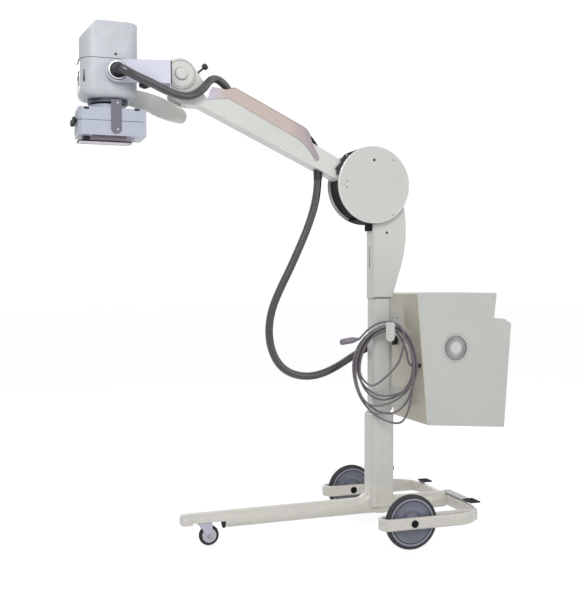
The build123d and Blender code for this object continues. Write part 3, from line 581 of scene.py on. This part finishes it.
# Dark brown for the line along the hood's top edge: painted shade
brown_edge_shade = moulded("brown_edge_shade", srgb(122, 98, 92), 0.5)
seam_dark = moulded("seam_dark", srgb(34, 34, 40), 0.6)
dial_face = moulded("dial_face", srgb(92, 92, 98), 0.3)
tick_white = moulded("tick_white", srgb(226, 226, 230), 0.5)
panel_grey = moulded("panel_grey", srgb(150, 150, 158), 0.4)
clear_plastic = clear_sheet("clear_plastic", srgb(226, 214, 222))

tyre_rubber = rubbery("tyre_rubber", srgb(46, 46, 52))
tread_rubber = rubbery("tread_rubber", srgb(34, 34, 38), 0.8)
sheath = hose_skin("sheath", srgb(46, 44, 49), 0.26)
cable_skin = hose_skin("cable_skin", srgb(90, 83, 89), 0.36)

steel = brushed("steel", srgb(168, 168, 172))
dark_steel = brushed("dark_steel", srgb(104, 104, 112))
gland_steel = brushed("gland_steel", srgb(78, 78, 88), (500.0, 60.0, 500.0), 0.26)
strap_metal = brushed("strap_metal", srgb(112, 109, 121), (900.0, 60.0, 60.0), 0.42)
fork_metal = brushed("fork_metal", srgb(186, 184, 200), roughness=0.36)
screw_steel = brushed("screw_steel", srgb(176, 176, 182), (500.0, 500.0, 500.0), 0.3)
bright_edge = brushed("bright_edge", srgb(232, 232, 236), (400.0, 400.0, 400.0), 0.26)

FINISHES = {
    body_paint: ("column_sleeve", "column_tube", "column_neck", "joint_cover_left", "joint_cover_right",
                 "cabinet_bracket", "cable_hook"),
    arm_paint: ("arm_beam", "knuckle_cover"),
    cabinet_paint: ("cabinet_shell",),
    chassis_paint: ("wheel_rail_left", "wheel_rail_right", "rear_bow", "spine_tube", "base_hub", "leg_tube"),
    hood_plastic: ("arm_hood",),
    head_plastic: ("head_lower", "head_cover"),
    handle_plastic_lightened: ("head_handle",),
    disc_plastic: ("wheel_disc_left", "wheel_disc_right"),
    vent_plastic: ("vent_grille",),
    switch_plastic: ("hand_switch",),
    black_plastic: ("sleeve_knob", "lock_lever", "tilt_knob", "collimator_knobs", "tray_posts",
                    "cabinet_glands"),
    shield_black: ("joint_rim", "arm_shield", "leg_end_cap", "axle_plugs_left", "axle_plugs_right",
                   "neck_stop"),
    ring_black: ("turntable_ring",),
    dial_face: ("dial",),
    tread_rubber: ("step_treads", "caster_wheel"),
    tyre_rubber: ("tyre_left", "tyre_right"),
    bracket_paint: ("head_bracket",),
    collimator_paint: ("collimator_body",),
    fork_metal: ("caster_fork",),
    steel: ("axle_left", "axle_right", "joint_shaft", "knuckle_pin", "step_pads"),
    gland_steel: ("hose_gland",),
    strap_metal: ("collimator_strap_left", "collimator_strap_right"),
    dark_steel: ("caster_plate", "generator_block"),
    clear_plastic: ("collimator_window", "filter_tray"),
    sheath: ("hose_lower", "hose_upper"),
    cable_skin: ("cable_coil",),
}
for finish, names in FINISHES.items():
    for name in names:
        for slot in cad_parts[name].material_slots:
            slot.material = finish


# Hoses

UPPER_HOSE = mm(
    (1022, 136.2, 1688), (1022, 152, 1688), (1010, 165, 1682), (988, 168, 1670), (952, 156, 1658),
    (910, 136, 1648), (864, 111, 1634), (817, 85, 1624), (771, 67, 1622), (735, 58, 1637), (706, 55, 1662),
    (690, 50, 1686), (672, 32, 1700), (645, 12, 1703), (617, 3, 1686), (599, 0, 1661), (569, 0, 1631),
)
LOWER_HOSE = mm(
    (254, 0, 1392), (255, 0, 1330), (266, -2, 1258), (292, -6, 1176), (326, -10, 1096),
    (362, -14, 1016), (402, -19, 936), (434, -23, 856), (443, -27, 774), (426, -31, 696),
    (384, -35, 636), (316, -40, 606), (236, -48, 606), (156, -58, 636), (76, -68, 681),
    (0, -75, 716), (-50, -75, 728), (-94, -73, 734),
)

lower_line = route_points(LOWER_HOSE[::-1])
lower_hose = tube_piece("lower_hose_sheath", lower_line, HOSE_RADIUS, sheath, 24)
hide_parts("hose_lower")
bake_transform(lower_hose)

upper_line = route_points(UPPER_HOSE)
upper_hose = tube_piece("upper_hose_sheath", upper_line, HOSE_RADIUS, sheath, 24)
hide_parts("hose_upper")
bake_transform(upper_hose)


# The hand switch's cable, hung in a wide loose coil on its hook

# The coil hangs in a plane of its own: s along it, n across it and z up, in millimetres.
# Each turn: right s and n, top z and n, left s, bottom s and z. The last row only ends the sixth turn.
TURNS = (
    (-70, 0, 790, 0, 115, 21, 514), (-96, -12, 797, -11, 121, 13, 530), (-112, 16, 806, 11, 127, 55, 491),
    (-105, 6, 800, 0, 136, -4, 459), (-106, -22, 808, -11, 140, -37, 424), (-98, 26, 795, 11, 111, 50, 570),
    (-52, 29),
)
TOP_S, SIDE_Z = -14.0, 640.0
COIL_Y = 87
# The cable before its first turn and after its last one: s, n and z
START = ((-110.9, -6.5, 649), (-96, -3, 648), (-82, -1, 652), (-73, 0, 670), (-70, 0, 700))
END = (
    (-34, 27, 650), (-52, 31, 700), (-60, 31, 748), (-56, 29, 788), (-32, 21, 814), (6, 11, 819),
    (42, 8, 811), (76, 4, 790), (97, 1, 765), (110.6, -1.6, 750.6),
)


def coil_route():
    """Control points of the cable: each turn an oval with its own top, bottom and sides, eased across."""
    rows, count = list(START), len(TURNS) - 1
    for k in range(count):
        right, right_n, top, n, left, low_s, low_z = TURNS[k]
        next_right, next_n = TURNS[k + 1][:2]
        for a in range(30 if k else 60, 360, 30):
            c, s = math.cos(math.radians(a)), math.sin(math.radians(a))
            if a <= 90:
                across = n + (right_n - n) * max(0, 1 - a / 60)
                rows.append((TOP_S + (right - TOP_S) * c, across, SIDE_Z + (top - SIDE_Z) * s))
            elif a <= 180:
                rows.append((TOP_S - (left - TOP_S) * c, n, SIDE_Z + (top - SIDE_Z) * s))
            else:
                t = min(max((a - 210) / 120, 0), 1)
                end, m = (left, -c) if a <= 270 else (next_right, c)
                across = n + (next_n - n) * t * t * (3 - 2 * t)
                rows.append((low_s + (end - low_s) * m, across, SIDE_Z + (SIDE_Z - low_z) * s))
        if k < count - 1:
            rows.append((next_right, next_n, SIDE_Z))
    s, n, z = np.array(rows[:-2] + list(END)).T
    return mm(*np.c_[COIL_COS * s + COIL_SIN * n, COIL_Y - COIL_SIN * s + COIL_COS * n, z])


coil_line = route_points(coil_route())
coil = tube_piece("switch_cable", coil_line, CABLE_RADIUS, cable_skin, 14)
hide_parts("cable_coil")
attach(coil, "chassis")

# The switch's profile from its button, past its ridged grip, to its strain relief
SWITCH_PROFILE = (
    (6.5, -2.0), (8.6, -1.0), (9.0, 0.5), (9.2, 2.0), (11.4, 3.0), (12.0, 6.0), (11.5, 9.0), (12.0, 12.0),
    (11.5, 15.0), (12.0, 18.0), (11.5, 21.0), (12.0, 24.0), (12.0, 44.0), (11.0, 52.0), (9.0, 58.0),
    (7.6, 60.0), (7.2, 63.0), (6.6, 64.0), (6.8, 66.0), (6.0, 67.5), (6.2, 69.5), (5.3, 71.0), (5.4, 73.0),
    (4.6, 74.5),
)
hand_switch = turned_piece("switch_grip", SWITCH_PROFILE, (171, 24, 738), (-0.965, 0.2, 0.17), switch_plastic)
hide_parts("hand_switch")
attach(hand_switch, "chassis")


# Small parts


def put(piece, body, node=None):
    """Rides a piece on its body, and hides the node that it takes the place of, if one is given."""
    if node:
        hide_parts(node)
    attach(piece, body)


def seam(name, outline, z, size, body):
    """A fine dark line of radius size round an outline at height z, half sunk in the surface."""
    x, y = np.vstack([outline, outline[:1]]).T
    line = mm(*np.c_[x, y, np.full(len(x), z)])
    put(tube_piece(name, line, size / 1000, seam_dark, 8), body)


def screws(name, places, axis, radius, body, tall=1.2, dark=False):
    """Domed heads with a driver's socket, their profile turned about axis, in steel or dark."""
    finish, slot = (seam_dark, "black_plastic") if dark else (screw_steel, "steel")
    profile = [(radius, -0.6), (radius, tall * 0.4), (radius * 0.9, tall * 0.8), (radius * 0.55, tall),
               (radius * 0.45, tall), (radius * 0.4, tall * 0.1), (radius * 0.05, tall * 0.05)]
    heads = [turned(f"{name}_{i}", profile, place, axis, finish, 24) for i, place in enumerate(places)]
    put(joined(name, heads), body)


def screws_both_sides(name, places, radius, body, tall=1.2, dark=False):
    """Screws on the near side, and the same ones mirrored to the far side."""
    screws(name, places, NEAR, radius, body, tall, dark)
    screws(f"{name}_far", [(x, -y, z) for x, y, z in places], FAR, radius, body, tall, dark)


def relief(name, line, length, first, last, body, ribs=5):
    """A ribbed sleeve that tapers along a cord's start, in metres: r = first + (last - first) t / length,
    less up to a twentieth in each rib's groove."""
    t = np.linspace(0, length, ribs * 8 + 1)
    path = np.stack([np.interp(t, distance_along(line), way) for way in line.T], 1)
    wave = 1 - 0.05 * (0.5 - 0.5 * np.cos(2 * np.pi * ribs * t / length))
    radius = (first + (last - first) * t / length) * wave
    put(tube_piece(name, path, radius, black_plastic, 28), body)


def flutes(count, depth):
    """Radius wave for a gripped knob: 1 - depth (half + half cos(count a)) cubed."""
    return lambda a: 1 - depth * (0.5 + 0.5 * np.cos(count * a)) ** 3


# Strain reliefs where the cords start and end

relief("lower_hose_boot", lower_line, 0.042, 0.0196, 0.0162, "chassis")
relief("lower_hose_collar", lower_line[::-1], 0.040, 0.0186, 0.0160, "arm", 3)
relief("upper_hose_boot", upper_line, 0.026, 0.0190, 0.0160, "bracket", 4)
relief("switch_cable_boot", coil_line, 0.022, 0.0060, 0.0044, "chassis")

# Rear wheels

# Upper halves of the tyre's and the centre's sections: radius and height over the wheel's middle
TYRE_HALF = [
    (87, 12), (90.4, 12), (91, 11.3), (91.6, 12), (94, 11.9), (96.6, 11), (98.4, 9.2), (99.1, 7.2),
    (98.0, 6.7), (98.0, 5.5), (99.5, 5.0), (99.9, 2.0),
]
DISC_HALF = [
    (10.4, 12), (23, 12), (24.5, 11.2), (26, 9.4), (30, 8.6), (42, 8.6), (43, 9.3), (46, 9.3), (47, 8.6),
    (72, 8.8), (74.5, 10.6), (75.6, 11), (76, 8.2), (78.6, 8.2), (79, 11), (80, 11.4), (86, 11.4),
    (86.8, 10.4),
]
# Name, section, finish, slot, and the node that it stands for, if any
WHEEL_RINGS = (
    ("tyre_tread", two_faced(TYRE_HALF), tyre_rubber, None, "tyre"),
    ("wheel_centre", two_faced(DISC_HALF), disc_plastic, None, "wheel_disc"),
    ("wheel_groove", [(76.1, 8.4), (76.1, 9.0), (78.5, 9.0), (78.5, 8.4)], seam_dark, "black_plastic", None),
    ("wheel_rim", [(80.2, 11), (80.6, 11.7), (86.2, 11.7), (86.6, 11)], rim_plastic, "disc_plastic", None),
)
for side, y in (("left", WHEEL_Y), ("right", -WHEEL_Y)):
    for name, section, finish, slot, node in WHEEL_RINGS:
        ring = ring_piece(f"{name}_{side}", section, (0, y, WHEEL_Z), NEAR, finish, 160)
        put(ring, f"rear_wheel_{side}", f"{node}_{side}" if node else None)

# Front caster

fork_low, fork_high = box_of("caster_fork")
put(ring_piece("caster_seal", [(9, -3.4), (9, -0.5), (20.4, -0.5), (20.9, -1.4), (20.4, -3.4)],
               (SWIVEL_X, 0, fork_high[2]), UP, shield_black, 64), "caster_fork")
screws("caster_nuts", [(CASTER_X, fork_high[1] - 0.6, CASTER_Z)], NEAR, 6.5, "caster_fork", 3.0)
screws("caster_nuts_far", [(CASTER_X, fork_low[1] + 0.6, CASTER_Z)], FAR, 6.5, "caster_fork", 3.0)
wheel_low, wheel_high = box_of("caster_wheel")
HUB_SECTION = [(6, -2.0), (6, -0.6), (13, -1.4), (25, -1.6), (26.4, -2.6), (25, -3.0)]
for side, y, way in (("near", wheel_high[1], NEAR), ("far", wheel_low[1], FAR)):
    put(ring_piece(f"caster_hub_{side}", HUB_SECTION, (CASTER_X, y, CASTER_Z), way, hub_plastic),
        "caster_wheel")

# Foot plate's ribs, across each tread from y0 to y1

treads_low, treads_high = box_of("step_treads")
ribs = []
for y0, y1, z in ((166, 214, 136.0), (-220, -180, 134.0)):
    for y in np.linspace(y0, y1, 8):
        line = mm(*[(x, y, z) for x in np.linspace(treads_low[0] + 5, treads_high[0] - 5, 5)])
        ribs.append(tube_piece("rib", line, 0.0011, tread_rubber, 8))
put(joined("tread_ribs", ribs), "chassis")

# Column

seam("sleeve_top_line", rounded(-SLEEVE_HALF, SLEEVE_HALF, -SLEEVE_HALF, SLEEVE_HALF, COLUMN_CORNER),
     SLEEVE_TOP, 0.9, "chassis")
seam("column_top_line", rounded(-COLUMN_HALF, COLUMN_HALF, -COLUMN_HALF, COLUMN_HALF, COLUMN_CORNER),
     COLUMN_TOP, 0.8, "chassis")
put(turned("sleeve_knob_grip", [(6, 0), (6, 4), (11.5, 4), (13, 5.2), (13, 11), (11.5, 13), (8, 14),
                                (0.5, 14)],
           (-47.5, 0, 240), REAR, black_plastic, 96, flutes(12, 0.1)), "chassis", node="sleeve_knob")
screws_both_sides("neck_screw", [(-17, 33, 1158)], 5.0, "chassis", dark=True)

# Cable hook, a bent strip: its tongue ends in a half round, and its bar turns out from the column

half_turn = np.radians(np.linspace(0, 180, 25))
tongue = np.vstack([
    np.c_[HOOK_HALF * np.cos(half_turn), 760 - HOOK_HALF * np.sin(half_turn)],
    [(-HOOK_HALF, 812), (-15.8, 814.8), (-13, 816), (13, 816), (15.8, 814.8), (HOOK_HALF, 812)],
])
hook = [
    slab_piece("hook_tongue", tongue, 107, 110, body_paint, 0.5, "yz"),
    slab_piece("hook_bar", rounded(2, 108, -HOOK_HALF, HOOK_HALF, 1.5, 3), 781, 784, body_paint, 0.4, "xy"),
]
turn_out = Matrix.Translation(at((-66, 30, 0))) @ Matrix.Rotation(math.radians(50), 4, "Z")
for piece in hook:
    piece.data.transform(turn_out @ Matrix.Translation(-SHIFT))
hook += [
    slab_piece("hook_root", rounded(-81, -51, 781, 841, 5), 20, 23, body_paint, 0.5),
    slab_piece("hook_foot", rounded(-81, -51, 20, 36, 1.5, 3), 781, 784, body_paint, 0.4, "xy"),
]
put(joined("hook_strip", hook), "chassis", node="cable_hook")
screws("hook_screws", [(-66, 23, 805), (-66, 23, 828)], NEAR, 4.0, "chassis")

# Joint housing's round covers

for side, edge_y, line_y in (("near", 54.2, 47), ("far", -62.2, -55)):
    put(ring_piece(f"cover_edge_{side}", bead(144.4, 0, 0.9), (JOINT_X, edge_y, JOINT_Z), NEAR,
                   bright_edge, 160), "chassis")
    put(ring_piece(f"cover_line_{side}", bead(146.6, 0, 0.7), (JOINT_X, line_y, JOINT_Z), NEAR,
                   seam_dark, 160), "chassis")
screws("cover_screw", [(46, 55, 1432)], NEAR, 5.5, "chassis", dark=True)
screws("cover_dots", [(-32, 55, 1435), (-33, 55, 1226)], NEAR, 2.6, "chassis", 0.6, dark=True)
screws("cover_bosses", [(157, 55, 1348), (157, 55, 1327)], NEAR, 4.4, "chassis", 2.4)
screws("cover_screws_far", [(46, -63, 1432), (-32, -63, 1435), (-33, -63, 1226)], FAR, 4.0, "chassis")

# Arm

put(slab_piece("shield_teeth", [(150, 1438), (163, 1450), (179, 1430), (175, 1423), (182, 1414), (199, 1396),
                                (193, 1388), (194, 1374), (172, 1384)], 34, 45, black_plastic),
    "arm")
# A black wedge between the hood's rear edge and the arm's top: painted shade where the hood's opening ends
# over the arm
put(slab_piece("hood_opening_shade", [(304, 1524), (297, 1505), (289, 1489), (266, 1477), (270, 1485), (288, 1508)],
               -33, 33, shield_black), "arm")

# The dark brown line along the hood's near top edge, painted shade on that edge: its points along the arm,
# and out from the arm's middle line
hood_along, hood_out = np.transpose([
    (664, 23.5), (650, 36), (637, 47.2), (620, 48), (480, 52), (346, 55.4), (330, 54), (318, 49.4), (306, 40),
    (297, 30),
])
hood_x, hood_z = on_arm(hood_along, hood_out)
put(tube_piece("hood_top_shade_line", mm(*np.c_[hood_x, np.full(len(hood_x), 37.4), hood_z]), 0.0012, brown_edge_shade, 10),
    "arm")

put(ring_piece("knuckle_line", bead(47, 0, 0.7), KNUCKLE, NEAR, seam_dark, 120), "arm")
put(ring_piece("knuckle_cap_line", bead(22.4, 0, 0.8), KNUCKLE, NEAR, seam_dark), "arm")

lever_x, lever_z = on_arm(777.2, 27.3)
put(turned("lock_lever_knob", [(7, -2.6), (7, -0.4), (4, 0), (4, 25), (9.5, 26), (12, 29), (12, 37),
                               (10.4, 41), (6, 42), (0.5, 42)],
           (lever_x, 28.5, lever_z), (-0.74, 0, 0.673), black_plastic, 96, flutes(8, 0.16)),
    "arm", node="lock_lever")

# Bracket, with its tilt knob and hose gland

knob_low, knob_high = box_of("tilt_knob")
knob_x, knob_y = (knob_low + knob_high)[:2] / 2
low, high = knob_low[2], knob_high[2]
put(turned("tilt_knob_grip", [(8, low), (8, high - 16), (16.5, high - 16), (19, high - 14), (19, high - 4),
                              (17, high - 1), (12, high), (11, high - 1), (0.5, high - 1)],
           (knob_x, knob_y, 0), UP, black_plastic, 120, flutes(10, 0.12)), "bracket", node="tilt_knob")

for name, section, finish, slot in (
    ("gland_gasket", [(18.5, 3), (18.5, 8), (26, 8), (27, 7), (27, 3)], seam_dark, "black_plastic"),
    ("gland_line", bead(33, 0.6, 0.8), seam_dark, "black_plastic"),
    ("gland_washer", [(27.2, 3), (27.2, 5), (30.5, 5), (31.5, 4.4), (31.5, 3)], bright_edge, "steel"),
):
    put(ring_piece(name, section, GLAND, NEAR, finish, 64), "bracket")
# A dark strip down the bar's rear edge: painted shade in the gap between the bracket's bar and the knuckle's
# cover
put(tube_piece("bar_gap_shade", mm(*[(836.8, 114.9, z) for z in (1656, 1675, 1700, 1734)]), 0.0016, seam_dark, 10),
    "bracket")

# Head

seam("head_seam", rounded(945, 1141, -90, 90, 50, 16), 1733, 1.3, "head")
screws_both_sides("head_screw", [(1025, 92, 1747)], 4.5, "head", dark=True)
pill = mm(*[on_corner(46.5, z) for z in (1648, 1652, 1670, 1688, 1692)])
put(tube_piece("indicator_window", pill, (0.003, 0.006, 0.006, 0.006, 0.003), dial_face),
    "head")
screws("indicator_lamp", [on_corner(52, 1681)], CORNER_WAY, 4.2, "head")
screws("indicator_foot", [on_corner(52, 1660)], CORNER_WAY, 3.4, "head", dark=True)

# Scale round the turntable ring, a tick each 5 degrees and a tall one each 30
ticks = []
for k in range(72):
    angle, tall = math.radians(5 * k), 4.6 if k % 6 == 0 else 2.6
    x, y = RING_X + RING_RADIUS * math.cos(angle), RING_RADIUS * math.sin(angle)
    line = mm(*[(x, y, RING_LOW + rise) for rise in (0, tall / 2, tall)])
    ticks.append(tube_piece("tick", line, 0.00042, tick_white, 6))
put(joined("ring_scale", ticks), "head")

needle = mm((1143.2, 0, 1660), (1143.3, 1.5, 1672), (1143.2, 4, 1690))
put(tube_piece("dial_needle", needle, 0.0007, tick_white, 8), "head")
put(ring_piece("dial_bezel", bead(8.4, 0, 0.9), (1143, 0, 1675), FRONT, seam_dark, 40),
    "head")

# Collimator

seam("collimator_seam", rounded(917, 1149, -74, 74, 12), 1523, 0.8, "collimator")
put(slab_piece("collimator_panel", rounded(-58, 58, 1484, 1556, 8), 1148.4, 1150.4, panel_grey, 0.8, "yz"),
    "collimator")
KNOB_PROFILE = [(7, 0), (7, 5), (11, 5.6), (12, 7), (12, 15), (10.6, 17), (7, 18), (0.5, 18)]
knobs = [turned(f"knob_{k}", KNOB_PROFILE, (1149, y, 1524), FRONT, black_plastic, 96, flutes(16, 0.1))
         for k, y in enumerate((-34, 34))]
put(joined("collimator_knob_grips", knobs), "collimator", node="collimator_knobs")
for name, x, z in (("front", 1122, 1562), ("rear", 950, 1565)):
    put(slab_piece(f"latch_{name}", rounded(x - 9, x + 9, z - 4, z + 4, 2.5), 71, 76.4, black_plastic),
        "collimator")
screws_both_sides("strap_screws", [(STRAP_X, STRAP_Y, 1493), (STRAP_X, STRAP_Y, 1585)], 4.2, "collimator")
seam("tray_frame", rounded(964.6, 1143.4, -34.4, 34.4, 5), 1457, 2.6, "collimator")

# Cabinet, with the rays and the cap of its vent

corner_screws = [(x, CABINET_SIDE, z) for x, z in ((-142, 436), (-104, 910), (-418, 910), (-455, 415))]
screws_both_sides("cabinet_screws", corner_screws, 4.0, "chassis", 0.9)
rays = []
for k in range(36):
    c, s = math.cos(math.radians(10 * k)), math.sin(math.radians(10 * k))
    reach = 63 if k % 2 else 58
    line = mm(*[(VENT_X + r * c, CABINET_SIDE + 0.1, VENT_Z + r * s) for r in (50, 53, reach)])
    rays.append(tube_piece("ray", line, (0.0012, 0.0012, 0.0006), panel_grey, 6))
put(joined("vent_rays", rays), "chassis")
put(turned("vent_cap", [(21, -1), (21, 0.4), (19.6, 1.0), (12, 1.4), (0.5, 1.5)],
           (VENT_X, CABINET_SIDE + 1, VENT_Z), NEAR, vent_plastic, 64), "chassis")


# Floor, backdrop and light

FLOOR_HALF = 30


def floor_finish():
    """Pale floor that the camera and reflections see as white, with the shadows kept."""
    finish = Finish("floor_finish", (0.86, 0.86, 0.86), 0.6)
    finish.bump(finish.noise(3.0), 0.0001, 0.1)
    glow = finish.node("ShaderNodeEmission", {}, {"Strength": 1.3})
    lit = Signal(finish, finish.shader.outputs[0])
    mixed = finish.node("ShaderNodeMixShader", {}, {0: finish.seen_rays() * 0.6, 1: lit, 2: glow})
    finish.fill(finish.nodes["Material Output"].inputs["Surface"], mixed)
    return finish.material


corners = [(-FLOOR_HALF, -FLOOR_HALF, 0), (FLOOR_HALF, -FLOOR_HALF, 0), (FLOOR_HALF, FLOOR_HALF, 0),
           (-FLOOR_HALF, FLOOR_HALF, 0)]
floor = mesh_piece("floor", corners, [(0, 1, 2, 3)], floor_finish(), smooth=False)

world = bpy.data.worlds.new("studio")
world.use_nodes = True
scene.world = world
studio = Graph(world.node_tree)
soft_light = studio.nodes["Background"]
soft_light.inputs["Color"].default_value = (0.92, 0.95, 1.0, 1)
soft_light.inputs["Strength"].default_value = 0.5
white = studio.node("ShaderNodeBackground", {}, {"Color": (1, 1, 1, 1), "Strength": 1.05})
chosen = studio.node("ShaderNodeMixShader", {},
                     {0: studio.seen_rays(), 1: Signal(studio, soft_light.outputs[0]), 2: white})
studio.fill(studio.nodes["World Output"].inputs["Surface"], chosen)

# Name, place, aim, size in metres and power in watts
for name, place, aim, size, power in (
    ("key", (1.6, 3.6, 3.6), (0.0, 0.0, 0.9), 2.0, 92),
    ("fill", (-3.4, 3.0, 2.0), (0.0, 0.0, 0.8), 2.8, 34),
    ("rim", (0.6, -3.0, 3.2), (0.0, 0.0, 1.0), 2.0, 60),
):
    data = bpy.data.lights.new(name, "AREA")
    data.size = size
    data.energy = power
    lamp = bpy.data.objects.new(name, data)
    scene.collection.objects.link(lamp)
    lamp.location = place
    lamp.rotation_euler = (Vector(aim) - Vector(place)).to_track_quat("-Z", "Y").to_euler()

scene.view_settings.view_transform = "Standard"
